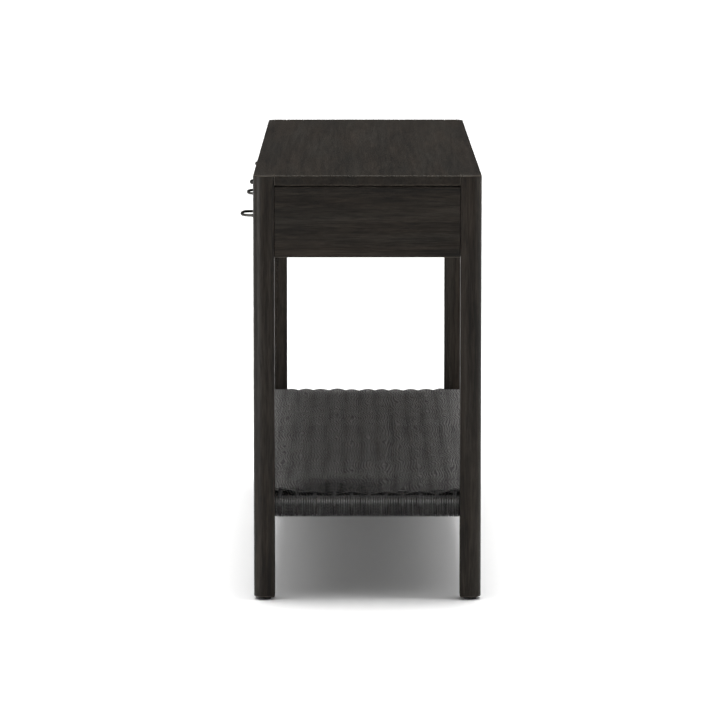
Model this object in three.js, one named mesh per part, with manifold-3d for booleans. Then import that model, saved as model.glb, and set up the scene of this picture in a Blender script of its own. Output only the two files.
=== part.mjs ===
// Console table: four square legs with rounded outer corners, a slab top let in
// between the leg tops, a drawer case with two drawers on telescopic runners,
// and a low shelf frame wrapped and woven with cord.
// Millimetres, +Z up, the front faces -Y, the length runs along X.
import * as THREE from "three";
import { mergeVertices } from "three/addons/utils/BufferGeometryUtils.js";
import Module from "manifold-3d";

// ---- driving dimensions ----
const LENGTH = 1600; // overall, along X
const DEPTH = 430; // over the legs, along Y, pulls not counted
const HEIGHT = 806; // floor to top surface
const FIT = 0.3; // gap left between touching pieces

const LEG = 40; // square leg section
const LEG_ROUND = 19; // radius of the outer vertical corner
const LEG_CHAMFER = 2; // at the foot of the leg
const GLIDE_H = 5;
const GLIDE_R = 12.5;

const TOP_T = 18; // slab thickness
const REVEAL = 4; // shadow gap under the slab
const APRON_H = 132;
const APRON_T = 18;
const APRON_SET = 1.5; // apron face behind the leg face

const FRONT_T = 20; // drawer front thickness
const FRONT_SET = 1; // drawer front face behind the leg face
const FRONT_GAP = 3; // round each drawer front
const SIDE_T = 12; // drawer side and back thickness
const SIDE_Z0 = 676;
const SIDE_Z1 = 764;
const BOTTOM_T = 6;
const BOX_DEPTH = 350;
const RUNNER_SPACE = 12.7; // width of one telescopic runner
const RUNNER_Z = 718;
const RUNNER_L = 350;

const PULL_SPACING = 504; // between the two pulls of one drawer
const PULL_HALF = 46; // half the distance between a pull's feet
const PULL_OUT = 25.5; // drawer face to the rod's centreline
const PULL_ROD = 2.5; // rod radius
const PULL_Z = 721; // height of the pulls, a little above the middle of the drawer front

const RAIL_T = 24; // shelf rail thickness
const END_RAIL_Z = [162, 194];
const LONG_RAIL_Z = [170, 204];
const CORD = 3.2;

// ---- derived positions ----
const HX = LENGTH / 2;
const HY = DEPTH / 2;
const INX = HX - LEG; // inner faces of the legs
const INY = HY - LEG;
const SLAB_Z = HEIGHT - TOP_T;
const APRON_Z1 = SLAB_Z - REVEAL;
const APRON_Z0 = APRON_Z1 - APRON_H;
const FACE_Y = -HY + FRONT_SET; // face of the drawer fronts
const BACK_OF_FRONT = FACE_Y + FRONT_T;
const RAIL_Y = BACK_OF_FRONT + 2; // front rails of the case start here
const PARTITION_T = 18;

const wasm = await Module();
wasm.setup();

// ---- materials ----
const stainedWood = new THREE.MeshStandardMaterial({ color: 0x2e2a27, roughness: 0.55, metalness: 0 });
const boxWood = new THREE.MeshStandardMaterial({ color: 0x6b5443, roughness: 0.6, metalness: 0 });
const cordFabric = new THREE.MeshStandardMaterial({ color: 0x3a3a3a, roughness: 0.9, metalness: 0 });
const darkIron = new THREE.MeshStandardMaterial({ color: 0x2b2a29, roughness: 0.4, metalness: 0.9 });
const runnerSteel = new THREE.MeshStandardMaterial({ color: 0xb4b6b8, roughness: 0.35, metalness: 1 });
const screwSteel = new THREE.MeshStandardMaterial({ color: 0x9a9a9a, roughness: 0.4, metalness: 1 });
const glidePlastic = new THREE.MeshStandardMaterial({ color: 0x141414, roughness: 0.6, metalness: 0 });

// ---- solids ----
function solid(geometry) {
  const g = geometry.index ? geometry.toNonIndexed() : geometry.clone();
  g.deleteAttribute("normal");
  g.deleteAttribute("uv");
  const m = mergeVertices(g, 1e-3);
  return new wasm.Manifold(
    new wasm.Mesh({
      numProp: 3,
      vertProperties: new Float32Array(m.attributes.position.array),
      triVerts: new Uint32Array(m.index.array),
    }),
  );
}

function geometryOf(s) {
  const m = s.getMesh();
  const v = new Float32Array(m.numVert * 3);
  for (let i = 0; i < m.numVert; i++)
    v.set(m.vertProperties.subarray(i * m.numProp, i * m.numProp + 3), i * 3);
  const g = new THREE.BufferGeometry();
  g.setAttribute("position", new THREE.BufferAttribute(v, 3));
  g.setIndex(new THREE.BufferAttribute(new Uint32Array(m.triVerts), 1));
  g.computeVertexNormals();
  return g;
}

// A plain block between two corners.
function block(x0, x1, y0, y1, z0, z1) {
  const g = new THREE.BoxGeometry(x1 - x0, y1 - y0, z1 - z0);
  g.translate((x0 + x1) / 2, (y0 + y1) / 2, (z0 + z1) / 2);
  return solid(g);
}

// A round bar between z0 and z1 of a lathe profile, turned about Z.
function turned(profile, segments = 16) {
  const g = new THREE.LatheGeometry(profile.map(([r, z]) => new THREE.Vector2(r, z)), segments);
  g.rotateX(Math.PI / 2);
  return solid(g);
}

// The outline (points in the plane) extruded along Z from z0 to z1.
function prism(points, z0, z1, chamfer = 0) {
  const shape = new THREE.Shape(points.map(([x, y]) => new THREE.Vector2(x, y)));
  const g = new THREE.ExtrudeGeometry(shape, {
    depth: z1 - z0 - 2 * chamfer,
    steps: 1,
    curveSegments: 1,
    bevelEnabled: chamfer > 0,
    bevelThickness: chamfer,
    bevelSize: chamfer,
    bevelOffset: -chamfer,
    bevelSegments: 1,
  });
  g.translate(0, 0, z0 + chamfer);
  return solid(g);
}

function minus(a, ...cuts) {
  for (const c of cuts) a = a.subtract(c);
  return a;
}

function plus(a, ...more) {
  for (const m of more) a = a.add(m);
  return a;
}

const table = new THREE.Group();
table.name = "console_table";
// The frame's origin is under the middle of the overall box, and the pulls stand
// proud of the front, so the carcass sits a little behind it.
const PULL_TIP = -(FACE_Y - PULL_OUT - PULL_ROD);
table.position.set(0, (PULL_TIP - HY) / 2, 0);

// Adds a piece whose solid is given in the table's own axes: its mesh is placed at
// the piece's own reference point and its geometry is taken relative to that.
function add(name, s, material, at, parent = table) {
  const g = geometryOf(s);
  g.translate(-at[0], -at[1], -at[2]);
  const mesh = new THREE.Mesh(g, material);
  mesh.name = name;
  mesh.position.set(...at);
  parent.add(mesh);
  return mesh;
}

// ---- legs ----
const TENON = { w: 8, h: 100, long: 20 };
const RAIL_TENON = { w: 10, h: 18, long: 14 };
const APRON_MID_Z = (APRON_Z0 + APRON_Z1) / 2;

function legOutline(sx, sy) {
  const outer = [];
  const cx = HX - LEG_ROUND;
  const cy = HY - LEG_ROUND;
  for (let i = 0; i <= 12; i++) {
    const a = (i / 12) * (Math.PI / 2);
    outer.push([cx + LEG_ROUND * Math.cos(a), cy + LEG_ROUND * Math.sin(a)]);
  }
  const p = [[INX, INY], [HX, INY], ...outer, [INX, HY]].map(([x, y]) => [sx * x, sy * y]);
  return sx * sy > 0 ? p : p.reverse();
}

function leg(sx, sy) {
  // The foot is chamfered all round, the top stays square to meet the slab.
  const outline = legOutline(sx, sy);
  const whole = prism(outline, GLIDE_H, HEIGHT + 20, LEG_CHAMFER);
  let s = minus(whole, block(-2000, 2000, -1000, 1000, HEIGHT, HEIGHT + 40));
  const g = FIT;
  const box = (x0, x1, y0, y1, z0, z1) =>
    block(Math.min(sx * x0, sx * x1), Math.max(sx * x0, sx * x1), Math.min(sy * y0, sy * y1), Math.max(sy * y0, sy * y1), z0, z1);
  // mortise for the end apron
  const ax = HX - APRON_SET - APRON_T / 2;
  s = minus(s, box(ax - TENON.w / 2 - g, ax + TENON.w / 2 + g, INY - 1, INY + TENON.long + g, APRON_MID_Z - TENON.h / 2 - g, APRON_MID_Z + TENON.h / 2 + g));
  if (sy > 0) {
    // mortise for the back apron
    const ay = HY - APRON_SET - APRON_T / 2;
    s = minus(s, box(INX - 1, INX + TENON.long + g, ay - TENON.w / 2 - g, ay + TENON.w / 2 + g, APRON_MID_Z - TENON.h / 2 - g, APRON_MID_Z + TENON.h / 2 + g));
  } else {
    // mortises for the two front rails of the case
    for (const z of [APRON_Z0 + 10, SLAB_Z - FIT - 10])
      s = minus(s, box(INX - 1, INX + 16 + g, -RAIL_Y - 14 - g, -RAIL_Y - 3 + g, z - 6 - g, z + 6 + g));
  }
  // mortises for the shelf rails
  const ez = (END_RAIL_Z[0] + END_RAIL_Z[1]) / 2;
  const lz = (LONG_RAIL_Z[0] + LONG_RAIL_Z[1]) / 2;
  const mid = HX - LEG / 2;
  const midY = HY - LEG / 2;
  s = minus(
    s,
    box(mid - RAIL_TENON.w / 2 - g, mid + RAIL_TENON.w / 2 + g, INY - 1, INY + RAIL_TENON.long + g, ez - RAIL_TENON.h / 2 - g, ez + RAIL_TENON.h / 2 + g),
    box(INX - 1, INX + RAIL_TENON.long + g, midY - RAIL_TENON.w / 2 - g, midY + RAIL_TENON.w / 2 + g, lz - RAIL_TENON.h / 2 - g, lz + RAIL_TENON.h / 2 + g),
  );
  // hole for the glide's stem
  const hole = turned([[0, 0], [2.8, 0], [2.8, 24], [0, 24]], 12).translate([sx * mid, sy * midY, GLIDE_H - 2]);
  return minus(s, hole);
}

function glide(sx, sy) {
  const x = sx * (HX - LEG / 2);
  const y = sy * (HY - LEG / 2);
  return turned(
    [[0, 0], [GLIDE_R - 1, 0], [GLIDE_R, 1], [GLIDE_R, 3.2], [GLIDE_R - 1.5, GLIDE_H - FIT], [2.5, GLIDE_H - FIT], [2.5, 21], [0, 24]],
    20,
  ).translate([x, y, 0]);
}

const ENDS = [["left", -1], ["right", 1]];
for (const [side, sx] of ENDS)
  for (const [face, sy] of [["front", -1], ["rear", 1]]) {
    const at = [sx * (HX - LEG / 2), sy * (HY - LEG / 2), 0];
    add(`${face}_${side}_leg`, leg(sx, sy), stainedWood, at);
    add(`${face}_${side}_glide`, glide(sx, sy), glidePlastic, at);
  }

// ---- top slab, notched round the leg tops ----
{
  const n = LEG + FIT;
  const X = HX;
  const Y = HY;
  const p = [
    [-X + n, -Y], [X - n, -Y], [X - n, -Y + n], [X, -Y + n], [X, Y - n], [X - n, Y - n],
    [X - n, Y], [-X + n, Y], [-X + n, Y - n], [-X, Y - n], [-X, -Y + n], [-X + n, -Y + n],
  ];
  add("top_slab", prism(p, SLAB_Z, HEIGHT), stainedWood, [0, 0, HEIGHT]);
}

// ---- aprons: a board with a tongue that reaches the slab behind the shadow gap ----
function apronProfile() {
  // in a plane whose first axis points out of the table and second is up
  const o = -APRON_SET;
  const i = -APRON_SET - APRON_T;
  return [
    [i, APRON_Z0], [o, APRON_Z0], [o, APRON_Z1], [o - 7, APRON_Z1], [o - 7, SLAB_Z - FIT], [i, SLAB_Z - FIT],
  ];
}

for (const [side, sx] of ENDS) {
  const half = INY - FIT;
  // The profile is drawn with X outward and Z up, then extruded along Y.
  const g = prism(apronProfile(), -half, half).rotate([90, 0, 0]); // (x, y, z) -> (x, -z, y)
  let s = g.translate([HX, 0, 0]);
  if (sx < 0) s = s.rotate([0, 0, 180]);
  const ax = sx * (HX - APRON_SET - APRON_T / 2);
  s = plus(s, block(ax - TENON.w / 2, ax + TENON.w / 2, -INY - TENON.long, INY + TENON.long, APRON_MID_Z - TENON.h / 2, APRON_MID_Z + TENON.h / 2));
  add(`${side}_end_apron`, s, stainedWood, [sx * HX, 0, APRON_MID_Z]);
}
{
  const half = INX - FIT;
  let s = prism(apronProfile(), -half, half).rotate([90, 0, 0]).rotate([0, 0, 90]).translate([0, HY, 0]);
  const ay = HY - APRON_SET - APRON_T / 2;
  s = plus(s, block(-INX - TENON.long, INX + TENON.long, ay - TENON.w / 2, ay + TENON.w / 2, APRON_MID_Z - TENON.h / 2, APRON_MID_Z + TENON.h / 2));
  add("back_apron", s, stainedWood, [0, HY, APRON_MID_Z]);
}

// ---- front rails of the case, hidden behind the drawer fronts ----
const TOP_RAIL_Z = [SLAB_Z - FIT - 20, SLAB_Z - FIT];
const BOTTOM_RAIL_Z = [APRON_Z0, APRON_Z0 + 20];
for (const [name, z, deep] of [["case_top_rail", TOP_RAIL_Z, 40], ["case_bottom_rail", BOTTOM_RAIL_Z, 60]]) {
  const zc = (z[0] + z[1]) / 2;
  const s = plus(
    block(-INX + FIT, INX - FIT, RAIL_Y, RAIL_Y + deep, z[0], z[1]),
    block(-INX - 16, INX + 16, RAIL_Y + 3, RAIL_Y + 14, zc - 6, zc + 6),
  );
  add(name, s, stainedWood, [0, RAIL_Y, zc]);
}

// ---- partition between the drawers, bridled over the two rails ----
{
  const backIn = HY - APRON_SET - APRON_T;
  const s = minus(
    block(-PARTITION_T / 2, PARTITION_T / 2, RAIL_Y, backIn - FIT, APRON_Z0, SLAB_Z - FIT),
    block(-50, 50, RAIL_Y - 10, RAIL_Y + 40 + FIT, TOP_RAIL_Z[0] - FIT, HEIGHT),
    block(-50, 50, RAIL_Y - 10, RAIL_Y + 60 + FIT, 0, BOTTOM_RAIL_Z[1] + FIT),
  );
  add("case_partition", s, boxWood, [0, 0, APRON_MID_Z]);
}

// ---- packing strips that bring the runners flush with the legs ----
for (const [side, sx] of ENDS) {
  const x0 = INX;
  const x1 = HX - APRON_SET - APRON_T - FIT;
  const s = block(Math.min(sx * x0, sx * x1), Math.max(sx * x0, sx * x1), -INY + FIT, INY - FIT, RUNNER_Z - 28, RUNNER_Z + 28);
  add(`${side}_runner_packer`, s, boxWood, [sx * x0, 0, RUNNER_Z]);
}

// ---- telescopic runners ----
// Each channel's section is drawn with its first axis pointing from the case wall
// towards the drawer, and is extruded along Y.
function channel(web0, web1, lip0, lip1, outer, inner, y0, y1) {
  // web between web0 and web1, lips from lip0 to lip1, half height outer, lip underside inner
  const web = block(web0, web1, y0, y1, RUNNER_Z - outer, RUNNER_Z + outer);
  const top = block(Math.min(lip0, lip1), Math.max(lip0, lip1), y0, y1, RUNNER_Z + inner, RUNNER_Z + outer);
  const low = block(Math.min(lip0, lip1), Math.max(lip0, lip1), y0, y1, RUNNER_Z - outer, RUNNER_Z - inner);
  return plus(web, top, low);
}

const RY0 = BACK_OF_FRONT + 8;
function runner(prefix, wallX, toDrawer) {
  // wallX is the face the case member is screwed to; toDrawer is +1 or -1 along X
  const at = (d) => wallX + toDrawer * d;
  const piece = (a, b, l0, l1, outer, inner, y0, y1) => {
    const [w0, w1] = [at(a), at(b)].sort((p, q) => p - q);
    const [p0, p1] = [at(l0), at(l1)].sort((p, q) => p - q);
    return channel(w0, w1, p0, p1, outer, inner, y0, y1);
  };
  const y1 = RY0 + RUNNER_L;
  const where = [wallX, RY0, RUNNER_Z];
  add(`${prefix}_case_member`, piece(FIT, 1.5, 1.4, 9.5, 22.5, 21.3, RY0, y1), runnerSteel, where);
  add(`${prefix}_middle_member`, piece(3.5, 4.7, 4.6, 10.2, 18.2, 17, RY0, y1), runnerSteel, where);
  add(`${prefix}_drawer_member`, piece(RUNNER_SPACE - 0.3 - 1.2, RUNNER_SPACE - 0.3, RUNNER_SPACE - 1.4, 6.2, 14, 12.8, RY0, BACK_OF_FRONT + BOX_DEPTH - FIT), runnerSteel, where);
}

// ---- drawers ----
function pullPath(cx) {
  // The rod's centreline: a bow with generous corners, in the horizontal plane.
  const pts = [];
  const n = 3.2;
  const steps = 22;
  pts.push(new THREE.Vector3(cx - PULL_HALF, FACE_Y - 1.5, PULL_Z));
  for (let i = 1; i < steps; i++) {
    const a = Math.PI - (i / steps) * Math.PI;
    const c = Math.cos(a);
    const q = Math.sin(a);
    pts.push(
      new THREE.Vector3(
        cx + PULL_HALF * Math.sign(c) * Math.abs(c) ** (2 / n),
        FACE_Y - PULL_OUT * q ** (2 / n),
        PULL_Z,
      ),
    );
  }
  pts.push(new THREE.Vector3(cx + PULL_HALF, FACE_Y - 1.5, PULL_Z));
  return new THREE.CatmullRomCurve3(pts, false, "centripetal");
}

function pull(cx) {
  const section = new THREE.Shape();
  const sides = 10;
  for (let i = 0; i < sides; i++) {
    const a = ((i + 0.5) / sides) * Math.PI * 2;
    const r = PULL_ROD / Math.cos(Math.PI / sides);
    if (i) section.lineTo(r * Math.cos(a), r * Math.sin(a));
    else section.moveTo(r * Math.cos(a), r * Math.sin(a));
  }
  const rod = solid(new THREE.ExtrudeGeometry(section, { steps: 34, bevelEnabled: false, curveSegments: 1, extrudePath: pullPath(cx) }));
  let s = rod;
  for (const sx of [-1, 1]) {
    // round foot that tapers into the rod, with a blind hole for the screw
    const foot = turned([[0, FIT / 3], [6, FIT / 3], [6, 2], [3.6, 4], [2.9, 8], [0, 8]], 14)
      .rotate([90, 0, 0])
      .translate([cx + sx * PULL_HALF, FACE_Y, PULL_Z]);
    s = plus(s, foot);
  }
  for (const sx of [-1, 1]) {
    const hole = turned([[0, -3], [1.8, -3], [1.8, 6.6], [0, 6.6]], 10)
      .rotate([90, 0, 0])
      .translate([cx + sx * PULL_HALF, FACE_Y, PULL_Z]);
    s = minus(s, hole);
  }
  return s;
}

function pullScrew(x) {
  // pan head against the back of the drawer front, shank through it into the pull's foot
  return turned([[0, -FRONT_T - 2.4], [2.6, -FRONT_T - 2.4], [3.5, -FRONT_T - 1.4], [3.5, -FRONT_T - 0.2], [1.5, -FRONT_T - 0.2], [1.5, 5.8], [0, 6.2]], 10)
    .rotate([90, 0, 0])
    .translate([x, FACE_Y, PULL_Z]);
}

function drawer(name, sx) {
  // x0 is the edge next to the middle, x1 the edge next to the leg
  const g = new THREE.Group();
  g.name = `${name}_drawer`;
  table.add(g);
  const fx0 = FRONT_GAP / 2;
  const fx1 = INX - FRONT_GAP;
  const bx0 = PARTITION_T / 2 + RUNNER_SPACE; // outer faces of the box sides
  const bx1 = INX - RUNNER_SPACE;
  const span = (a, b) => (sx > 0 ? [a, b] : [-b, -a]);
  const box = (a, b, y0, y1, z0, z1) => block(...span(a, b), y0, y1, z0, z1);
  const yb = BACK_OF_FRONT + BOX_DEPTH;
  const zb = SIDE_Z0 + 6; // underside of the bottom panel
  const cut = FIT;
  const mid = (fx0 + fx1) / 2;

  // front board: housings for the sides, groove for the bottom, holes for the pull screws
  let front = box(fx0, fx1, FACE_Y, BACK_OF_FRONT, APRON_Z0, APRON_Z1);
  for (const a of [bx0, bx1 - SIDE_T])
    front = minus(front, box(a - cut, a + SIDE_T + cut, BACK_OF_FRONT - 8 - cut, BACK_OF_FRONT + 5, SIDE_Z0 - cut, SIDE_Z1 + cut));
  front = minus(front, box(bx0 + 2, bx1 - 2, BACK_OF_FRONT - 6 - cut, BACK_OF_FRONT + 5, zb - cut, zb + BOTTOM_T + cut));
  const pulls = [mid - PULL_SPACING / 2, mid + PULL_SPACING / 2].map((x) => sx * x).sort((a, b) => a - b);
  for (const p of pulls)
    for (const e of [-1, 1]) {
      const hole = turned([[0, -FRONT_T - 5], [1.9, -FRONT_T - 5], [1.9, 5], [0, 5]], 10)
        .rotate([90, 0, 0])
        .translate([p + e * PULL_HALF, FACE_Y, PULL_Z]);
      front = minus(front, hole);
    }
  add(`${name}_drawer_front`, front, stainedWood, [sx * mid, FACE_Y, RUNNER_Z], g);

  // sides, housed in the front and grooved for the bottom
  for (const [which, a, inward] of [["inner", bx0, 1], ["outer", bx1 - SIDE_T, -1]]) {
    let s = box(a, a + SIDE_T, BACK_OF_FRONT - 8, yb, SIDE_Z0, SIDE_Z1);
    const g0 = inward > 0 ? a + SIDE_T - 6 - cut : a - 5;
    const g1 = inward > 0 ? a + SIDE_T + 5 : a + 6 + cut;
    s = minus(s, box(g0, g1, BACK_OF_FRONT - 20, yb + 5, zb - cut, zb + BOTTOM_T + cut));
    add(`${name}_drawer_${which}_side`, s, boxWood, [sx * a, BACK_OF_FRONT, RUNNER_Z], g);
  }
  add(`${name}_drawer_back`, box(bx0 + SIDE_T + cut, bx1 - SIDE_T - cut, yb - SIDE_T, yb, zb + BOTTOM_T + cut, SIDE_Z1 - 6), boxWood, [sx * mid, yb, RUNNER_Z], g);
  add(`${name}_drawer_bottom`, box(bx0 + SIDE_T - 6, bx1 - SIDE_T + 6, BACK_OF_FRONT - 6, yb - 1, zb, zb + BOTTOM_T), boxWood, [sx * mid, yb, zb], g);

  for (const [i, p] of pulls.entries()) {
    const tag = `${name}_drawer_pull_${i + 1}`;
    add(tag, pull(p), darkIron, [p, FACE_Y, PULL_Z], g);
    for (const [j, e] of [-1, 1].entries()) add(`${tag}_screw_${j + 1}`, pullScrew(p + e * PULL_HALF), screwSteel, [p + e * PULL_HALF, FACE_Y, PULL_Z], g);
  }
  runner(`${name}_inner_runner`, (sx * PARTITION_T) / 2, sx);
  runner(`${name}_outer_runner`, sx * INX, -sx);
}
drawer("left", -1);
drawer("right", 1);

// ---- shelf frame ----
for (const [side, sx] of ENDS) {
  const x = sx * (HX - LEG / 2);
  const zc = (END_RAIL_Z[0] + END_RAIL_Z[1]) / 2;
  const s = plus(
    block(x - RAIL_T / 2, x + RAIL_T / 2, -INY + FIT, INY - FIT, ...END_RAIL_Z),
    block(x - RAIL_TENON.w / 2, x + RAIL_TENON.w / 2, -INY - RAIL_TENON.long, INY + RAIL_TENON.long, zc - RAIL_TENON.h / 2, zc + RAIL_TENON.h / 2),
  );
  add(`${side}_shelf_end_rail`, s, stainedWood, [x, 0, zc]);

  // cord wound round the rail: a sleeve of the cord's thickness with eased corners
  const w = RAIL_T / 2 + FIT;
  const h0 = END_RAIL_Z[0] - FIT;
  const h1 = END_RAIL_Z[1] + FIT;
  const c = 3;
  const [a, b, d, e] = [w + CORD, h0 - CORD, h1 + CORD, c];
  const outline = [[-a + e, b], [a - e, b], [a, b + e], [a, d - e], [a - e, d], [-a + e, d], [-a, d - e], [-a, b + e]];
  const sleeve = minus(
    prism(outline, -INY + FIT, INY - FIT).rotate([90, 0, 0]).translate([x, 0, 0]),
    block(x - w, x + w, -INY - 10, INY + 10, h0, h1),
  );
  add(`${side}_end_rail_cord`, sleeve, cordFabric, [x, 0, zc]);
}
for (const [face, sy] of [["front", -1], ["rear", 1]]) {
  const y = sy * (HY - LEG / 2);
  const zc = (LONG_RAIL_Z[0] + LONG_RAIL_Z[1]) / 2;
  const s = plus(
    block(-INX + FIT, INX - FIT, y - RAIL_T / 2, y + RAIL_T / 2, ...LONG_RAIL_Z),
    block(-INX - RAIL_TENON.long, INX + RAIL_TENON.long, y - RAIL_TENON.w / 2, y + RAIL_TENON.w / 2, zc - RAIL_TENON.h / 2, zc + RAIL_TENON.h / 2),
  );
  add(`${face}_shelf_rail`, s, stainedWood, [0, y, zc]);
}
{
  const half = HY - LEG / 2 - RAIL_T / 2 - FIT;
  add("shelf_stretcher", block(-12, 12, -half, half, 172, 194), stainedWood, [0, 0, 183]);
}
{
  // woven cord: a flat sleeve round the two long rails, open at both ends
  const y = HY - LEG / 2 + RAIL_T / 2;
  const [iy, z0, z1] = [y + 0.5, LONG_RAIL_Z[0] - 0.5, LONG_RAIL_Z[1] + 0.5];
  const [oy, b, d, e] = [y + 0.5 + CORD + 0.3, z0 - CORD, z1 + 5, 3];
  const outline = [[-oy + e, b], [oy - e, b], [oy, b + e], [oy, d - e], [oy - e, d], [-oy + e, d], [-oy, d - e], [-oy, b + e]];
  const s = minus(
    prism(outline, -INX + 0.8, INX - 0.8).rotate([90, 0, 0]).rotate([0, 0, 90]),
    block(-INX - 10, INX + 10, -iy, iy, z0, z1),
  );
  add("woven_shelf", s, cordFabric, [0, 0, z1]);
}

export default table;
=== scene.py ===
import math

import bpy
import numpy as np
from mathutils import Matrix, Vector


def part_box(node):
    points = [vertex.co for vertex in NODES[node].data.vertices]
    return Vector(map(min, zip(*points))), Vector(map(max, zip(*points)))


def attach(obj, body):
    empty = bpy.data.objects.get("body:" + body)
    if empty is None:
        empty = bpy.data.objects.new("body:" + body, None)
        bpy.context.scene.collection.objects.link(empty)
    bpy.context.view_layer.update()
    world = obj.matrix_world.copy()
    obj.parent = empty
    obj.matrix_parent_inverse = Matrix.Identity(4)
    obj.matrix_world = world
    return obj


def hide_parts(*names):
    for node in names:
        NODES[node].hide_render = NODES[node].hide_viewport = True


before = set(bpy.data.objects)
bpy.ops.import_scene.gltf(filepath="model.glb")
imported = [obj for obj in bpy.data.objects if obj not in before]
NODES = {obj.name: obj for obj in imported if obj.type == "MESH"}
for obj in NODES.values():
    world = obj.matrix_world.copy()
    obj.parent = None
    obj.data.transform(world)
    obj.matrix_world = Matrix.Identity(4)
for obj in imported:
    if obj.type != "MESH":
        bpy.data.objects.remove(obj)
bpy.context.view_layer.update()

S_LO, S_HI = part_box("top_slab")
DY = (S_LO.y + S_HI.y) / 2  # the table's middle plane; the pulls put the box's middle elsewhere
TOP_Z = S_HI.z
rng = np.random.default_rng(7)

# ---------------------------------------------------------------- camera
cam_data = bpy.data.cameras.new("camera")
cam = bpy.data.objects.new("camera", cam_data)
bpy.context.scene.collection.objects.link(cam)
cam_data.sensor_width = 36
cam_data.lens = 227.55
cam_data.clip_start, cam_data.clip_end = 0.05, 400
cam.location = (9.306, DY - 0.0210, 1.4736)
cam.rotation_euler = (math.radians(90 - 6.806), 0, math.radians(90 - 0.0476))
bpy.context.scene.camera = cam

# ---------------------------------------------------------------- node helpers


class Tree:
    """A material with short calls for the nodes used here."""

    def __init__(self, name):
        self.mat = bpy.data.materials.new(name)
        self.mat.use_nodes = True
        self.nt = self.mat.node_tree
        self.nt.nodes.clear()
        self.out = self.nt.nodes.new("ShaderNodeOutputMaterial")
        self.bsdf = self.nt.nodes.new("ShaderNodeBsdfPrincipled")
        self.nt.links.new(self.bsdf.outputs[0], self.out.inputs[0])

    def put(self, socket, value):
        if isinstance(value, bpy.types.NodeSocket):
            self.nt.links.new(value, socket)
        else:
            socket.default_value = value

    def node(self, kind, **props):
        n = self.nt.nodes.new(kind)
        for k, v in props.items():
            setattr(n, k, v)
        return n

    def math(self, op, a, b=0.0, clamp=False):
        n = self.node("ShaderNodeMath", operation=op, use_clamp=clamp)
        self.put(n.inputs[0], a)
        self.put(n.inputs[1], b)
        return n.outputs[0]

    def coords(self, shift=(0, 0, 0), turn=(0, 0, 0), scale=(1, 1, 1)):
        c = self.node("ShaderNodeTexCoord")
        m = self.node("ShaderNodeMapping")
        self.nt.links.new(c.outputs["Object"], m.inputs[0])
        m.inputs["Location"].default_value = shift
        m.inputs["Rotation"].default_value = turn
        m.inputs["Scale"].default_value = scale
        return m.outputs[0]

    def scaled(self, vector, scale, shift=(0, 0, 0)):
        m = self.node("ShaderNodeMapping")
        self.nt.links.new(vector, m.inputs[0])
        m.inputs["Scale"].default_value = scale
        m.inputs["Location"].default_value = shift
        return m.outputs[0]

    def noise(self, vector, scale=1.0, detail=2.0, rough=0.5, distort=0.0):
        n = self.node("ShaderNodeTexNoise")
        self.nt.links.new(vector, n.inputs["Vector"])
        n.inputs["Scale"].default_value = scale
        n.inputs["Detail"].default_value = detail
        n.inputs["Roughness"].default_value = rough
        n.inputs["Distortion"].default_value = distort
        return n.outputs[0]

    def ramp(self, fac, stops):
        n = self.node("ShaderNodeValToRGB")
        self.put(n.inputs[0], fac)
        el = n.color_ramp.elements
        while len(el) < len(stops):
            el.new(0.5)
        for e, (p, c) in zip(el, stops):
            e.position = p
            e.color = (*c, 1) if len(c) == 3 else c
        return n.outputs[0]

    def level(self, fac, lo, hi, a=0.0, b=1.0):
        n = self.node("ShaderNodeMapRange")
        self.put(n.inputs[0], fac)
        n.inputs[1].default_value = lo
        n.inputs[2].default_value = hi
        n.inputs[3].default_value = a
        n.inputs[4].default_value = b
        return n.outputs[0]

    def mix(self, fac, a, b, mode="MIX"):
        n = self.node("ShaderNodeMix", data_type="RGBA", blend_type=mode)
        self.put(n.inputs[0], fac)
        for socket, value in ((n.inputs[6], a), (n.inputs[7], b)):
            if isinstance(value, tuple) and len(value) == 3:
                value = (*value, 1)
            self.put(socket, value)
        return n.outputs[2]

    def bump(self, height, distance, strength=1.0, normal=None):
        n = self.node("ShaderNodeBump")
        n.inputs["Strength"].default_value = strength
        n.inputs["Distance"].default_value = distance
        self.put(n.inputs["Height"], height)
        if normal is not None:
            self.put(n.inputs["Normal"], normal)
        return n.outputs[0]

    def set(self, **sockets):
        for k, v in sockets.items():
            name = {
                "color": "Base Color", "rough": "Roughness", "metal": "Metallic", "normal": "Normal",
                "spec": "Specular IOR Level", "coat": "Coat Weight", "coat_rough": "Coat Roughness",
                "sheen": "Sheen Weight", "sheen_rough": "Sheen Roughness",
            }[k]
            s = self.bsdf.inputs[name]
            if isinstance(v, tuple) and len(v) == 3:
                v = (*v, 1)
            self.put(s, v)
        return self.mat


# ---------------------------------------------------------------- wood

TURN = {"x": (0, 0, 0), "y": (0, 0, math.radians(-90)), "z": (0, math.radians(90), 0)}


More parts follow.
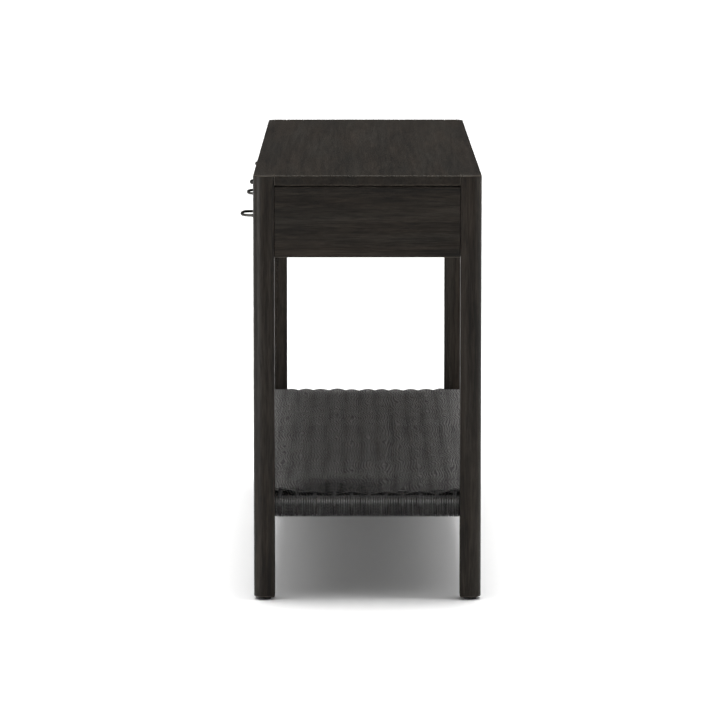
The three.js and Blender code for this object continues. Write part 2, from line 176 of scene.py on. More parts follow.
def stained(name, grain, seed, dark=(0.0082, 0.0070, 0.0057), light=(0.0246, 0.0212, 0.0172), spread=0.13, edge_highlight_and_wear=0.35, upright_edge_highlight=0.0):
    """Open-grained hardwood under a near-black stain, the grain along one axis of the table."""
    t = Tree(name)
    shift = (seed * 3.71, seed * 1.37 + 0.2, seed * 2.13 + 0.1)
    v = t.coords(shift=shift, turn=TURN[grain])
    # slow bend of the fibres, so that the figure isn't ruled
    bend = t.noise(t.scaled(v, (1.6, 7, 7)), 1.0, 2.0)
    off = t.math("MULTIPLY", t.math("SUBTRACT", bend, 0.5), 0.020)
    comb = t.node("ShaderNodeCombineXYZ")
    t.put(comb.inputs[1], off)
    t.put(comb.inputs[2], off)
    add = t.node("ShaderNodeVectorMath", operation="ADD")
    t.put(add.inputs[0], v)
    t.put(add.inputs[1], comb.outputs[0])
    w = add.outputs[0]
    board = t.noise(t.scaled(w, (1.1, 14, 14)), 1.0, 3.0, 0.55)
    figure = t.noise(t.scaled(w, (3.0, 120, 120)), 1.0, 4.0, 0.62, 0.25)
    fibre = t.noise(t.scaled(w, (26, 900, 900)), 1.0, 3.0, 0.6)
    pores = t.noise(t.scaled(w, (38, 1500, 1500), (5, 3, 1)), 1.0, 1.0, 0.5)
    pore = t.level(pores, 0.60, 0.70)
    waves = t.noise(t.scaled(w, (7.0, 62, 62), (2, 7, 4)), 1.0, 5.0, 0.66, 1.4)
    tone = t.math("ADD", t.math("MULTIPLY", board, 0.34), t.math("MULTIPLY", figure, 0.36))
    tone = t.math("ADD", tone, t.math("MULTIPLY", waves, 0.30))
    tone = t.math("ADD", tone, t.math("MULTIPLY", t.math("SUBTRACT", fibre, 0.5), 0.35))
    tone = t.level(tone, 0.5 - spread, 0.5 + spread)
    mid = tuple((a + b) / 2 * f for a, b, f in zip(dark, light, (1.04, 1.0, 0.95)))
    colour = t.ramp(tone, [
        (0.0, tuple(c * 0.85 for c in dark)),
        (0.5, mid),
        (1.0, tuple(c * 1.12 for c in light)),
    ])
    cast = t.noise(t.scaled(w, (2.2, 30, 30), (9, 1, 6)), 1.0, 2.0)
    colour = t.mix(t.level(cast, 0.35, 0.65, 0.0, 0.55), colour, t.mix(1.0, colour, (1.16, 0.97, 0.84), "MULTIPLY"))
    colour = t.mix(t.math("MULTIPLY", pore, 0.55), colour, tuple(c * 0.45 for c in dark))
    rough = t.math("ADD", t.level(figure, 0.2, 0.8, 0.39, 0.49), t.math("MULTIPLY", pore, 0.12))
    # painted highlight along the eased edges, a lighter colour partly from the finish wearing thin, unevenly; the
    # finish is also shinier there
    nz = t.node("ShaderNodeSeparateXYZ")
    t.nt.links.new(t.node("ShaderNodeNewGeometry").outputs["Normal"], nz.inputs[0])
    z2 = t.math("MULTIPLY", nz.outputs[2], nz.outputs[2])
    arris = t.math("MULTIPLY", t.math("MULTIPLY", z2, t.math("SUBTRACT", 1.0, z2)), 4.0)
    # on the slab the upright edges at the notches take the painted highlight as well
    if upright_edge_highlight:
        xy = t.math("MULTIPLY", nz.outputs[0], nz.outputs[1])
        arris = t.math("ADD", arris, t.math("MULTIPLY", t.math("MULTIPLY", xy, xy), 4.0 * upright_edge_highlight))
    patch = t.noise(t.coords(shift=shift, scale=(34, 34, 34)), 1.0, 3.0, 0.6)
    edge_highlight_and_wear_mask = t.math("MULTIPLY", t.level(arris, 0.15, 0.75), t.level(patch, 0.38, 0.60, edge_highlight_and_wear, 1.0))
    # lighter colour where the edge mask is high: painted highlight, partly wear
    colour = t.mix(edge_highlight_and_wear_mask, colour, (0.088, 0.076, 0.062))
    rough = t.math("SUBTRACT", rough, t.math("MULTIPLY", edge_highlight_and_wear_mask, 0.10))
    height = t.math("SUBTRACT", t.math("MULTIPLY", fibre, 0.35), t.math("MULTIPLY", pore, 0.8))
    n = t.bump(height, 0.00018, 0.75)
    return t.set(color=colour, rough=rough, normal=n, spec=0.11)


def boxwood(name, grain, seed):
    """Brown stained drawer wood, finer and plainer."""
    t = Tree(name)
    v = t.coords(shift=(seed * 2.3, seed * 0.7, seed * 1.9), turn=TURN[grain])
    rings = t.noise(t.scaled(v, (1.8, 60, 60)), 1.0, 4.0, 0.6, 0.4)
    fibre = t.noise(t.scaled(v, (30, 1100, 1100)), 1.0, 2.0)
    tone = t.math("ADD", t.math("MULTIPLY", rings, 0.75), t.math("MULTIPLY", fibre, 0.25))
    colour = t.ramp(t.level(tone, 0.3, 0.7), [(0, (0.085, 0.050, 0.029)), (0.55, (0.140, 0.086, 0.052)), (1, (0.205, 0.135, 0.085))])
    rough = t.level(fibre, 0.2, 0.8, 0.50, 0.66)
    return t.set(color=colour, rough=rough, normal=t.bump(fibre, 0.00012, 0.6), spec=0.3)


def metal(name, colour, rough, scale, wear):
    """Metal with a fine cast or drawn surface, a little lighter where it has been rubbed."""
    t = Tree(name)
    v = t.coords()
    cloud = t.noise(t.scaled(v, (scale, scale, scale)), 1.0, 4.0, 0.6)
    fine = t.noise(t.scaled(v, (2600, 2600, 2600)), 1.0, 2.0)
    c = t.ramp(t.level(cloud, 0.32, 0.70), [(0, tuple(x * 0.78 for x in colour)), (0.6, colour), (1, tuple(min(1, x * wear) for x in colour))])
    r = t.math("ADD", t.level(cloud, 0.3, 0.7, rough + 0.06, rough - 0.06), t.math("MULTIPLY", fine, 0.06))
    return t.set(color=c, rough=r, metal=1.0, normal=t.bump(fine, 0.00004, 0.5))


def steel(name):
    """Zinc plated, with drawing lines along the runner."""
    t = Tree(name)
    v = t.coords()
    lines = t.noise(t.scaled(v, (900, 6, 900)), 1.0, 3.0)
    cloud = t.noise(t.scaled(v, (22, 22, 22)), 1.0, 3.0)
    c = t.ramp(t.level(cloud, 0.3, 0.7), [(0, (0.47, 0.49, 0.52)), (0.5, (0.58, 0.60, 0.62)), (1, (0.66, 0.66, 0.63))])
    r = t.level(lines, 0.3, 0.7, 0.24, 0.40)
    return t.set(color=c, rough=r, metal=1.0, normal=t.bump(lines, 0.00003, 0.5))


def nylon(name):
    t = Tree(name)
    v = t.coords()
    grit = t.noise(t.scaled(v, (1800, 1800, 1800)), 1.0, 2.0)
    scuff = t.noise(t.scaled(v, (90, 90, 30)), 1.0, 4.0, 0.7)
    c = t.ramp(t.level(scuff, 0.4, 0.75), [(0, (0.010, 0.010, 0.010)), (1, (0.024, 0.023, 0.022))])
    return t.set(color=c, rough=t.level(scuff, 0.3, 0.7, 0.45, 0.62), normal=t.bump(grit, 0.00005, 0.6), spec=0.4)


PLY = 0.0056  # length of one ply's turn along a cord


def corded(name, low, high, sheen):
    """Three-ply twisted cord. U is the length along a strand in metres, V goes once round it."""
    t = Tree(name)
    uv = t.node("ShaderNodeUVMap", uv_map="strand")
    sep = t.node("ShaderNodeSeparateXYZ")
    t.nt.links.new(uv.outputs[0], sep.inputs[0])
    u, v = sep.outputs[0], sep.outputs[1]
    phase = t.math("ADD", t.math("MULTIPLY", u, math.pi / PLY), t.math("MULTIPLY", v, 3 * math.pi))
    ply = t.math("ABSOLUTE", t.math("SINE", phase))
    lump = t.math("POWER", ply, 0.8)
    # fibres run along the plies, so their noise is stretched down the helix
    comb = t.node("ShaderNodeCombineXYZ")
    t.put(comb.inputs[0], t.math("ADD", t.math("MULTIPLY", u, 160.0), t.math("MULTIPLY", v, 2.0)))
    t.put(comb.inputs[1], t.math("SUBTRACT", t.math("MULTIPLY", v, 22.0), t.math("MULTIPLY", u, 700.0)))
    fibre = t.noise(comb.outputs[0], 1.0, 2.0)
    cloud = t.noise(t.coords(scale=(26, 190, 60)), 1.0, 3.0, 0.6)
    tone = t.node("ShaderNodeAttribute", attribute_name="tone")
    a = t.math("ADD", t.math("MULTIPLY", fibre, 0.20), t.math("MULTIPLY", cloud, 0.30))
    a = t.math("ADD", a, t.math("MULTIPLY", tone.outputs["Fac"], 0.50))
    colour = t.ramp(t.level(a, 0.20, 0.80), [(0, low), (1, high)])
    # painted shade in the grooves between the plies
    colour = t.mix(t.level(lump, 0.36, 1.0, 0.98, 0.0), colour, tuple(c * 0.12 for c in low))
    n = t.bump(t.math("ADD", lump, t.math("MULTIPLY", fibre, 0.22)), 0.0008, 1.0)
    return t.set(color=colour, rough=0.80, normal=n, spec=0.10, sheen=sheen, sheen_rough=0.45)


# ---------------------------------------------------------------- tube meshes


def rings(points, radius, across, closed):
    """Frames for the rings of a tube round a path that lies in a plane square to across. Returns the points and two
    unit vectors square to the path at each point.
    """
    p = np.asarray(points, float)
    if closed:
        t = np.roll(p, -1, 0) - np.roll(p, 1, 0)
    else:
        t = np.gradient(p, axis=0)
    t /= np.linalg.norm(t, axis=1)[:, None]
    n = np.cross(t, across)
    n /= np.linalg.norm(n, axis=1)[:, None]
    b = np.cross(n, t)
    return p, n, b


def tubes(name, strands, sides, material, body="frame"):
    """One mesh of many cords. A strand is (points, radius, across, closed, u0, tone)."""
    V, Q, UV, T, CAPS, CAPUV = [], [], [], [], [], []
    base = 0
    ang = np.arange(sides) / sides * 2 * math.pi
    ca, sa = np.cos(ang), np.sin(ang)
    for points, radius, across, closed, u0, tone in strands:
        p, n, b = rings(points, radius, np.asarray(across, float), closed)
        m = len(p)
        r = np.broadcast_to(np.asarray(radius, float), (m,))[:, None, None]
        ring = p[:, None, :] + r * (ca[None, :, None] * n[:, None, :] + sa[None, :, None] * b[:, None, :])
        V.append(ring.reshape(-1, 3))
        T.append(np.repeat(np.broadcast_to(np.asarray(tone, np.float32), (m,)), sides))
        step = np.linalg.norm(np.diff(p, axis=0, append=p[:1]), axis=1)
        at = np.broadcast_to(np.asarray(u0, float), (m,))
        s = np.append(at, at[0]) + np.concatenate([[0], np.cumsum(step)])
        k = m if closed else m - 1
        i = np.arange(k)[:, None]
        j = np.arange(sides)[None, :]
        i1, j1 = (i + 1) % m, (j + 1) % sides
        quad = np.stack([i * sides + j, i * sides + j1, i1 * sides + j1, i1 * sides + j], -1).reshape(-1, 4) + base
        Q.append(quad)
        uu0 = np.broadcast_to(s[:k][:, None], (k, sides))
        uu1 = np.broadcast_to(s[1 : k + 1][:, None], (k, sides))
        v0 = np.broadcast_to(j / sides, (k, sides))
        v1 = v0 + 1 / sides
        UV.append(np.stack([uu0, v0, uu0, v1, uu1, v1, uu1, v0], -1).reshape(-1, 8))
        if not closed:
            for end, flip in ((0, True), (m - 1, False)):
                loop = base + end * sides + np.arange(sides)
                CAPS.append(loop[::-1] if flip else loop)
                CAPUV.append(np.tile([s[end], 0.5], sides))
        base += m * sides
    V, Q, UV, T = np.concatenate(V), np.concatenate(Q), np.concatenate(UV), np.concatenate(T)
    mesh = bpy.data.meshes.new(name)
    nq, nc = len(Q), len(CAPS)
    loops = np.concatenate([Q.ravel(), *CAPS]) if nc else Q.ravel()
    mesh.vertices.add(len(V))
    mesh.vertices.foreach_set("co", V.astype(np.float32).ravel())
    mesh.loops.add(len(loops))
    mesh.loops.foreach_set("vertex_index", loops.astype(np.int32))
    starts = np.concatenate([np.arange(nq) * 4, nq * 4 + np.arange(nc) * sides])
    mesh.polygons.add(nq + nc)
    mesh.polygons.foreach_set("loop_start", starts.astype(np.int32))
    layer = mesh.uv_layers.new(name="strand")
    layer.data.foreach_set("uv", np.concatenate([UV.ravel(), *CAPUV]).astype(np.float32) if nc else UV.ravel().astype(np.float32))
    att = mesh.attributes.new("tone", "FLOAT", "POINT")
    att.data.foreach_set("value", T)
    mesh.update(calc_edges=True)
    mesh.validate()
    mesh.polygons.foreach_set("use_smooth", np.ones(len(mesh.polygons), bool))
    mesh.materials.append(material)
    o = bpy.data.objects.new(name, mesh)
    bpy.context.scene.collection.objects.link(o)
    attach(o, body)
    return o


# ---------------------------------------------------------------- woven shelf

R = 0.00157  # cord radius
PITCH = 0.0032
LO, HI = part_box("front_shelf_rail")
RAIL_Y0, RAIL_Y1 = abs(HI.y - DY), abs(LO.y - DY)  # 183, 207 mm
RAIL_Z0, RAIL_Z1 = LO.z, HI.z
W_LO, W_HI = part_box("woven_shelf")
WEAVE_X = W_HI.x
E_LO, E_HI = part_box("right_shelf_end_rail")
END_X0, END_X1, END_Z0, END_Z1 = E_LO.x, E_HI.x, E_LO.z, E_HI.z
END_Y = E_HI.y - DY

ROUND = 0.0080  # the end rails' outer top edge is eased before it is wound
WOUND = 0.00448  # spacing of the proud turns wound round the end rails

WARP_Y = np.array([-165.5, -133.0, -99.5, -62.5, -30.0, 4.0, 36.0, 66.5, 101.0, 132.6, 166.5]) / 1000
HALF = 0.0330


def smooth(x, a, b):
    t = np.clip((x - a) / (b - a), 0, 1)
    return t * t * (3 - 2 * t)


NEAR_Y = np.array([-183, -150, -131, -119, -100, -60, 0, 60, 100, 132, 165, 183]) / 1000
NEAR_F = np.array([0, -0.10, -0.02, 0.62, 0.88, 1.0, 1.0, 0.93, 0.78, 0.52, 0.28, 0])
FAR_Y = np.array([-183, -165, -140, -100, -50, 0, 50, 100, 140, 165, 183]) / 1000
FAR_F = np.array([0, 0.18, 0.5, 0.82, 0.96, 1.0, 0.96, 0.82, 0.5, 0.18, 0])

# slow unevenness of a hand-woven surface
_w = rng.uniform(0, 2 * math.pi, 24)


def uneven(x, y):
    return 0.00045 * (np.sin(7.3 * x + _w[0] + 9 * y) + 0.8 * np.sin(15.0 * x - 21 * y + _w[1]) + 0.5 * np.sin(24 * x + 47 * y + _w[2]))


def base_z(x, y):
    """Height of the warps' middle."""
    x, y = np.broadcast_arrays(np.asarray(x, float), np.asarray(y, float))
    on_rail = RAIL_Z1 + R
    drop = np.where(
        x > 0,
        smooth(x, WEAVE_X - 0.170, WEAVE_X) ** 1.3 * np.interp(y, NEAR_Y, NEAR_F),
        0.25 * smooth(-x, WEAVE_X - 0.110, WEAVE_X) ** 1.5 * np.interp(y, FAR_Y, FAR_F),
    )
    inside = smooth(RAIL_Y0 - np.abs(y), -0.002, 0.020)
    return on_rail - 0.0062 * drop + inside * (uneven(x, y) - 0.0004)


def warp_phase(y):
    """0 at the first pair of warps, and 1 more at each next one, so that a strand is over one pair and under the next."""
    k = np.arange(len(WARP_Y))
    lo, hi = WARP_Y[0], WARP_Y[-1]
    inner = np.interp(y, WARP_Y, k)
    return np.where(y < lo, (y - lo) / HALF, np.where(y > hi, k[-1] + (y - hi) / HALF, inner))


TOPY = np.linspace(-RAIL_Y0 + 0.002, RAIL_Y0 - 0.002, 86)


def corner(cy, cz, radius, a0, a1, n):
    a = np.radians(np.linspace(a0, a1, n))
    return [(cy + radius * math.cos(q), cz + radius * math.sin(q)) for q in a]


def weft(i, x, count):
    """A closed turn of cord: over the shelf through the warps, round the rear rail, back beneath, and round the front rail."""
    parity = 1 if i % 2 else -1
    swing = 0.00330 * smooth(RAIL_Y0 - np.abs(TOPY), -0.004, 0.018)
    ph = warp_phase(TOPY)
    wave = np.cos(math.pi * ph)
    wave = np.sign(wave) * np.abs(wave) ** 1.15
    z = base_z(x, TOPY) + parity * swing * wave
    xs = np.full_like(TOPY, x) + 0.00022 * np.sin(math.pi * ph + i * 1.7)
    ends = min(i, count - 1 - i)
    if ends < 7:  # the first and last turns are slack and lie unevenly
        slack = (7 - ends) / 7
        j = rng.uniform(-1, 1, 3)
        z = z + 0.0007 * slack * (j[0] * np.sin(31 * TOPY + j[1] * 3) + 0.5 * np.sin(83 * TOPY + j[2] * 3)) * smooth(RAIL_Y0 - np.abs(TOPY), 0, 0.02)
    out = R + 0.00025 * rng.uniform(0, 1)
    rr = 0.0030
    yz = [(-RAIL_Y0 - 0.008, RAIL_Z1 + R), (-RAIL_Y0 - 0.001, RAIL_Z1 + R)]
    yz += list(zip(TOPY, z))
    yz += [(RAIL_Y0 + 0.001, RAIL_Z1 + R), (RAIL_Y0 + 0.008, RAIL_Z1 + R)]
    top = RAIL_Z1 + R - rr
    side = RAIL_Y1 + out
    low = RAIL_Z0 - out
    yz += corner(side - rr, top, rr, 90, 0, 5)
    yz += [(side, (RAIL_Z0 + RAIL_Z1) / 2)]
    yz += corner(side - rr, low + rr, rr, 0, -90, 5)
    sag = 0.0006 * rng.uniform(0, 1)
    yb = np.linspace(RAIL_Y0, -RAIL_Y0, 8)
    yz += [(q, low - sag * (1 - (q / RAIL_Y0) ** 2)) for q in yb]
    yz += corner(-side + rr, low + rr, rr, -90, -180, 5)
    yz += [(-side, (RAIL_Z0 + RAIL_Z1) / 2)]
    yz += corner(-side + rr, top, rr, 180, 90, 5)
    # start under the shelf, where the join in the pattern can't be seen
    yz = np.array(yz)
    px = np.full(len(yz), x)
    px[2 : 2 + len(TOPY)] = xs
    pts = np.column_stack([px, yz[:, 0] + DY, yz[:, 1]])
    return np.roll(pts, -(2 + len(TOPY) + 2 + 5 + 1 + 5 + 4), 0)


def edge_highlight_and_wear(z, zt):
    """How light a cord is down the outer face of an end rail: a painted highlight where it rounds the top edge, partly
    wear, and painted light on the upper face from above, darker below.
    """
    face = -0.04 + 0.12 * smooth(z, zt - 0.027, zt - 0.012)
    edge = smooth(z, zt - 0.0125, zt - 0.0075) * (1 - 0.78 * smooth(z, zt - 0.0056, zt - 0.0018))
    return face + 0.60 * edge


def build_shelf(material):
    count = int(round(2 * WEAVE_X / PITCH))
    xs = (np.arange(count) - (count - 1) / 2) * PITCH
    jitter = rng.normal(0, 0.00006, count)
    # the twist of neighbouring turns lines up in slanting rows that change their lean along the shelf
    odd = np.arange(count) % 2
    lean = np.sin(xs * 37 + 1.3 * np.sin(xs * 17) + 2.1 * odd)
    drift = PLY * (np.cumsum(rng.normal(0, 0.035, count)) + np.cumsum(lean) * PITCH / 0.120)
    ribs = len(WARP_Y) + 4
    rib_turn, rib_start = rng.uniform(28, 58, ribs), rng.uniform(0, 2 * math.pi, ribs)
    groups = np.array_split(np.arange(count), 5)
    for g, idx in enumerate(groups, 1):
        strands = []
        for i in idx:
            pts = weft(i, xs[i] + jitter[i], count)
            y = pts[:, 1] - DY
            # the cord is twisted a little tighter here and looser there
            ph = warp_phase(y) + 1.5
            k = np.clip(np.floor(ph), 0, ribs - 2).astype(int)
            part = smooth(ph - k, 0.40, 0.60)
            own = 0.62 * np.sin(rib_turn * xs[i] + rib_start + 0.8 * np.sin(19 * xs[i] + rib_start[::-1]))
            u0 = drift[i] + PLY * (own[k] * (1 - part) + own[k + 1] * part)
            u0 = u0 + PLY * (0.35 * np.sin(25 * y + 13 * xs[i] + _w[4]) + 0.25 * np.sin(31 * xs[i] - 41 * y + _w[5]) + 0.11 * np.sin(47 * xs[i] + 73 * y + _w[6]))
            # the last turns before the near end rail are darker over part of the shelf's width
            near_end_darkening = smooth(xs[i], WEAVE_X - 0.19, WEAVE_X - 0.05) * smooth(y, -0.145, -0.105) * (1 - 0.75 * smooth(y, -0.020, 0.060))
            # painted shade in the hollows between the ribs, each to its own degree
            painted_hollow_shade = np.abs(np.sin(math.pi * (ph - 1.5))) ** 3.5
            depth = 0.62 + 0.38 * np.sin(rib_start[k] * 3 + rib_turn[k] * 0.22 * xs[i])
            tone = 0.76 + 0.07 * rng.normal() - 0.50 * near_end_darkening - 0.30 * painted_hollow_shade * depth
            strands.append((pts, R, (1, 0, 0), True, u0, tone))
        tubes(f"shelf_weft_cords_{g}", strands, 7, material)
    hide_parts("woven_shelf")
    warps = []
    for k, yw in enumerate(WARP_Y):
        for e in (-1, 1):
            y = yw + e * (R + 0.00008)
            x = np.linspace(-WEAVE_X + 0.004, WEAVE_X - 0.004, 150)
            z = base_z(x, yw)
            over = 1 if k % 2 == 1 else -1  # these pairs cross over the outermost turn
            end = smooth(np.abs(x), WEAVE_X - 0.012, WEAVE_X - 0.004)
            z = z + end * (0.0012 if over > 0 else -0.0010)
            px, pz = list(x), list(z)
            rr = 0.0036
            o = R + 0.0003
            for s, ins in ((1, False), (-1, True)):
                xo, xi = END_X1 + o, END_X0 - o
                zt, zb = END_Z1 + o, END_Z0 - o
                seq = [(xi + 0.0005, zt - 0.0002)] + [(xi + 0.010, zt)]
                seq += [(xo - ROUND + ROUND * math.sin(a), zt - ROUND + ROUND * math.cos(a)) for a in np.radians([0, 18, 36, 54, 72, 90])]
                seq += [(xo, (zt + zb) / 2)]
                seq += [(xo - rr + rr * math.cos(a), zb + rr - rr * math.sin(a)) for a in np.radians([0, 30, 60, 90])]
                seq += [(xi + 0.009, zb)]
                seq += [(xi + rr - rr * math.sin(a), zb + rr - rr * math.cos(a)) for a in np.radians([0, 30, 60, 90])]
                seq += [(xi, (zt + zb) / 2), (xi, zt - 0.006)]
                if ins:
                    px = [s * q[0] for q in seq[::-1]] + px
                    pz = [q[1] for q in seq[::-1]] + pz
                else:
                    px += [s * q[0] for q in seq]
                    pz += [q[1] for q in seq]
            pts = np.column_stack([px, np.full(len(px), y + DY), pz])
            # the warps over the rounded edge and outer face of an end rail take the same painted highlight and painted
            # light, partly wear
            tone = float(rng.uniform(-0.10, 0.0)) + np.where(np.abs(pts[:, 0]) > END_X1 - ROUND, 0.72 * edge_highlight_and_wear(pts[:, 2], END_Z1 + o), 0.16)
            warps.append((pts, R, (0, 1, 0), False, float(rng.uniform(0, 1)), tone))
    tubes("shelf_warp_cords", warps, 8, material)


def build_wraps(side, material):
    """Turns of cord wound side by side round an end rail, with a gap where each pair of warps takes two places."""
    s = 1 if side == "right" else -1
    strands = []
    edges = [-END_Y, *sorted(WARP_Y), END_Y]
    places = []
    for a, b in zip(edges[:-1], edges[1:]):
        lo = a + (2 * R + 0.00012 if a > -END_Y else 0.0012)
        hi = b - (2 * R + 0.00012 if b < END_Y else 0.0012)
        n = max(1, int(round((hi - lo) / WOUND)))
        w = (hi - lo) / n
        places += [(lo + w * i / 2, i % 2 == 0) for i in range(1 if a > -END_Y else 0, 2 * n + (0 if b < END_Y else 1))]
    # every other turn is pulled down tight between its neighbours
    for y, sunk in places:
        radius = 0.00095 if sunk else 0.00127
        o = radius + 0.0001 if sunk else R + 0.0001 + 0.0003 * rng.uniform(0, 1) ** 2
        xo, xi, zt, zb = END_X1 + o, END_X0 - o, END_Z1 + o, END_Z0 - o - 0.0004 - 0.0004 * rng.uniform(0, 1) ** 3
        pts = []
        for ix, iz, a0 in ((1, 1, 180), (-1, 1, 270), (-1, -1, 0), (1, -1, 90)):
            rr = ROUND if a0 == 0 else 0.0036
            cx, cz = (xi if ix > 0 else xo) + ix * rr, (zb if iz > 0 else zt) + iz * rr
            for a in np.radians(np.linspace(a0, a0 + 90, 9 if a0 == 0 else 5)):
                pts.append((cx + rr * math.cos(a), cz + rr * math.sin(a)))
            if a0 in (180, 0):
                pts.append(((xo + xi) / 2, zb if a0 == 180 else zt))
            elif a0 == 270:
                pts += [(xo, (zt + zb) / 2), (xo, zt - 0.0125), (xo, zt - 0.0100)]
            else:
                pts.append((xi, (zt + zb) / 2))
        pts = np.array(pts)
        # the outer face takes the painted highlight at the top edge and painted light above, partly wear; the inner
        # face a plain tone
        tone = 0.07 + 0.06 * rng.normal() + np.where(pts[:, 0] > (xo + xi) / 2, edge_highlight_and_wear(pts[:, 1], zt), 0.10)
        # the sunk turns get a darker tone, painted shade between their neighbours
        tone = tone * 0.2 - 0.14 if sunk else tone
        lean = 0.0005 * (pts[:, 1] - (END_Z0 + END_Z1) / 2) / 0.032 * rng.uniform(-1, 1)
        p3 = np.column_stack([s * pts[:, 0], y + 0.00018 * rng.normal() + DY + lean, pts[:, 1]])
        if s < 0:
            p3, tone = p3[::-1], tone[::-1]
        strands.append((p3, radius, (0, 1, 0), True, float(rng.uniform(0, 1)), tone))
    o = tubes(f"{side}_end_rail_wraps", strands, 8, material)
    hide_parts(f"{side}_end_rail_cord")


# ---------------------------------------------------------------- pulls


def build_pull(node, body, material):
    lo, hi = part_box(node)
    cx, cz = (lo.x + hi.x) / 2, (lo.z + hi.z) / 2
    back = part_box(body + "_front")[0].y  # the drawer front's face
    rod = 0.0025
    half, out = 0.046, back - lo.y - rod
    n = 3.2
    a = np.linspace(math.pi, 0, 73)
    c, q = np.cos(a), np.sin(a)
    x = cx + half * np.sign(c) * np.abs(c) ** (2 / n)
    y = back - out * q ** (2 / n)
    # even steps along the bow
    pts = np.column_stack([x, y, np.full_like(x, cz)])
    pts[0, 1] = pts[-1, 1] = back
    s = np.concatenate([[0], np.cumsum(np.linalg.norm(np.diff(pts, axis=0), axis=1))])
    t = np.concatenate([[0, 0.0006, 0.0012, 0.002, 0.003, 0.0042, 0.0056], np.linspace(0.0075, s[-1] - 0.0075, 61), s[-1] - np.array([0.0056, 0.0042, 0.003, 0.002, 0.0012, 0.0006, 0])])
    pts = np.column_stack([np.interp(t, s, pts[:, i]) for i in range(3)])
    d = np.minimum(t, s[-1] - t)
    foot = np.interp(d, [0, 0.0006, 0.0012, 0.002, 0.003, 0.0042, 0.0056, 1], [0.0056, 0.0060, 0.0059, 0.0054, 0.0042, 0.0032, 0.0027, 0.0025])
    radius = foot
    o = tubes(node.replace("_pull_", "_bow_pull_"), [(pts, radius, (0, 0, 1), False, 0.0, 0.5)], 24, material, body)
    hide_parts(node)


# ---------------------------------------------------------------- carried-over nodes


def dress(node, material, bevel, segments=3, angle=32, clamp=True):
    o = NODES[node]
    o.data.materials.clear()
    o.data.materials.append(material)
    o.data.polygons.foreach_set("use_smooth", np.ones(len(o.data.polygons), bool))
    o.data.polygons.foreach_set("material_index", np.zeros(len(o.data.polygons), np.int32))
    for a in [a for a in o.data.attributes if a.name in ("custom_normal", "sharp_edge", "sharp_face")]:
        o.data.attributes.remove(a)
    w = o.modifiers.new("weld", "WELD")
    w.merge_threshold = 0.00001
    d = o.modifiers.new("flat", "DECIMATE")
    d.decimate_type = "DISSOLVE"
    d.angle_limit = math.radians(0.4)
    if bevel:
        b = o.modifiers.new("edge", "BEVEL")
        b.width = bevel
        b.segments = segments
        b.limit_method = "ANGLE"
        b.angle_limit = math.radians(angle)
        b.harden_normals = False
        b.use_clamp_overlap = clamp
        b.miter_outer = "MITER_ARC"
    n = o.modifiers.new("normals", "WEIGHTED_NORMAL")
    n.keep_sharp = True
    n.weight = 100


SEEDS = {}


def seed_of(node):
    SEEDS[node] = len(SEEDS) + 1
    return SEEDS[node]


GRAIN = {}
for f in ("front", "rear"):
    for e in ("left", "right"):
        GRAIN[f"{f}_{e}_leg"] = "z"
    GRAIN[f"{f}_shelf_rail"] = "x"
for e in ("left", "right"):
    GRAIN[f"{e}_end_apron"] = "y"
    GRAIN[f"{e}_shelf_end_rail"] = "y"
    GRAIN[f"{e}_drawer_front"] = "x"
for n in ("top_slab", "back_apron", "case_top_rail", "case_bottom_rail"):
    GRAIN[n] = "x"
GRAIN["shelf_stretcher"] = "y"
for node in sorted(GRAIN):
    leg = node.endswith("_leg")
    slab = node == "top_slab"
    edge = 0.0032 if "end_rail" in node else 0.0012 if "rail" in node or "stretcher" in node else 0.0017 if leg else 0.0013
    painted_light_scale = 1.2 if leg and "left" in node else 0.90 if slab else 1.0  # the far-end left legs get a lighter copy of the wood, painted light, and the slab a darker copy, painted shade
    wood = stained("wood_" + node, GRAIN[node], seed_of(node), (0.0082 * painted_light_scale, 0.0071 * painted_light_scale, 0.0059 * painted_light_scale),
                   (0.0243 * painted_light_scale, 0.0213 * painted_light_scale, 0.0176 * painted_light_scale), spread=0.16 if slab else 0.085,
                   edge_highlight_and_wear=0.85 if leg else 0.45, upright_edge_highlight=1.0 if slab else 0.0)
    dress(node, wood, edge, clamp=not leg)

BOXES = {"case_partition": "y"}
for e in ("left", "right"):
    BOXES[f"{e}_runner_packer"] = "y"
    BOXES[f"{e}_drawer_inner_side"] = BOXES[f"{e}_drawer_outer_side"] = "y"
    BOXES[f"{e}_drawer_back"] = BOXES[f"{e}_drawer_bottom"] = "x"
for node in sorted(BOXES):
    dress(node, boxwood("boxwood_" + node, BOXES[node], seed_of(node)), 0.0006, 2)

runner = steel("runner_steel")
screw = metal("screw_steel", (0.50, 0.50, 0.49), 0.34, 300, 1.2)
glide = nylon("glide_nylon")
iron = metal("dark_iron", (0.060, 0.057, 0.054), 0.36, 160, 1.6)
for node in NODES:
    if "_runner_" in node and node.endswith("_member"):
        dress(node, runner, 0.0003, 1)
    elif "_screw_" in node:
        dress(node, screw, 0.0002, 1, 40)
    elif node.endswith("_glide"):
        dress(node, glide, 0.0006, 2, 40)

charcoal = corded("charcoal_cord", (0.0095, 0.0093, 0.0090), (0.350, 0.345, 0.337), 0.16)
build_shelf(charcoal)
for e in ("left", "right"):
    build_wraps(e, charcoal)
    for i in (1, 2):
        build_pull(f"{e}_drawer_pull_{i}", f"{e}_drawer", iron)

# ---------------------------------------------------------------- floor, light

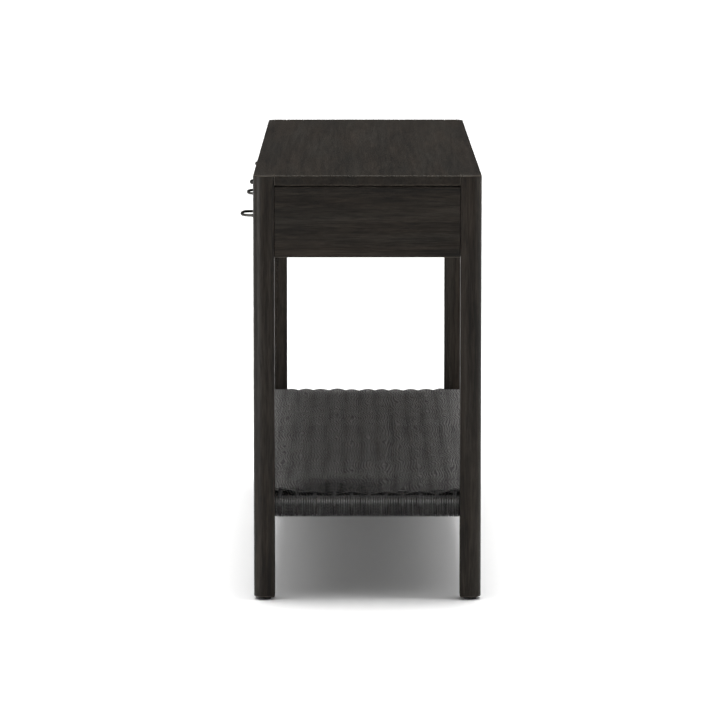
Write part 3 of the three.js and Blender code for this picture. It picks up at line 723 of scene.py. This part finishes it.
floor_mesh = bpy.data.meshes.new("floor")
fs = 90
floor_mesh.from_pydata([(-fs, -fs, 0), (fs, -fs, 0), (fs, fs, 0), (-fs, fs, 0)], [], [(0, 1, 2, 3)])
floor = bpy.data.objects.new("floor", floor_mesh)
bpy.context.scene.collection.objects.link(floor)
ft = Tree("floor_pale")
floor_mesh.materials.append(ft.set(color=(0.92, 0.92, 0.92), rough=1.0, spec=0.0))

LAMP, CEILING, WALL, END, BACK = 21.0, 1.17, 0.44, 0.12, 0.035
LAMP_WAY = (-0.130, 0.0, 0.9915)
LAMP_FROM, LAMP_TO = 0.962, 0.992
CEILING_FROM, CEILING_TO = 0.50, 0.90
world = bpy.data.worlds.new("studio")
bpy.context.scene.world = world
world.use_nodes = True
wn = world.node_tree
wn.nodes.clear()


def wnode(kind, *inputs, **props):
    n = wn.nodes.new(kind)
    for k, v in props.items():
        setattr(n, k, v)
    for socket, v in zip(n.inputs, inputs):
        if isinstance(v, bpy.types.NodeSocket):
            wn.links.new(v, socket)
        elif v is not None:
            socket.default_value = v
    return n


# a large lamp overhead, a bright ceiling, dimmer walls at the two sides and dark ends; the eye sees a plain white room
way = wnode("ShaderNodeTexCoord")
part = wnode("ShaderNodeSeparateXYZ", way.outputs["Generated"])
rise = wnode("ShaderNodeMapRange", part.outputs[2], CEILING_FROM, CEILING_TO, 0.0, 1.0, interpolation_type="SMOOTHSTEP")
wall = wnode("ShaderNodeMath", wnode("ShaderNodeMath", part.outputs[1], part.outputs[1], operation="MULTIPLY").outputs[0], WALL - END, operation="MULTIPLY")
back = wnode("ShaderNodeMapRange", part.outputs[0], -0.35, 0.25, BACK - END, 0.0)
low = wnode("ShaderNodeMath", wnode("ShaderNodeMath", wall.outputs[0], back.outputs[0], operation="ADD").outputs[0], END, operation="ADD")
span = wnode("ShaderNodeMath", CEILING, low.outputs[0], operation="SUBTRACT")
lit = wnode("ShaderNodeMath", wnode("ShaderNodeMath", rise.outputs[0], span.outputs[0], operation="MULTIPLY").outputs[0], low.outputs[0], operation="ADD")
aim = wnode("ShaderNodeVectorMath", way.outputs["Generated"], LAMP_WAY, operation="DOT_PRODUCT")
spot = wnode("ShaderNodeMapRange", aim.outputs["Value"], LAMP_FROM, LAMP_TO, 0.0, LAMP, interpolation_type="SMOOTHSTEP")
lit = wnode("ShaderNodeMath", lit.outputs[0], spot.outputs[0], operation="ADD")
seen = wnode("ShaderNodeLightPath")
bright = wnode("ShaderNodeMix", seen.outputs["Is Camera Ray"], None, lit.outputs[0], 1.0)
bg = wnode("ShaderNodeBackground", (1, 1, 1, 1), bright.outputs[0])
wout = wnode("ShaderNodeOutputWorld", bg.outputs[0])


def softbox(name, where, target, width, height, power, fill):
    data = bpy.data.lights.new(name, "AREA")
    data.shape = "RECTANGLE"
    data.size, data.size_y = width, height
    data.energy = power
    o = bpy.data.objects.new(name, data)
    bpy.context.scene.collection.objects.link(o)
    o.location = where
    d = Vector(target) - Vector(where)
    o.rotation_euler = d.to_track_quat("-Z", "Y").to_euler()
    o.visible_camera = False
    o.visible_diffuse = fill
    return o


softbox("front_side", (2.5, -2.8, 0.75), (0.75, 0, 0.45), 0.7, 1.3, 85, False)
softbox("far_side", (1.8, 3.0, 1.5), (0.75, 0, 0.7), 0.8, 0.8, 22, False)
softbox("fill", (1.5, 3.1, 1.3), (0.75, 0, 0.4), 0.9, 0.7, 13, True)

vs = bpy.context.scene.view_settings
vs.view_transform = "Standard"
vs.look = "None"
vs.exposure = 0.0
vs.gamma = 1.0
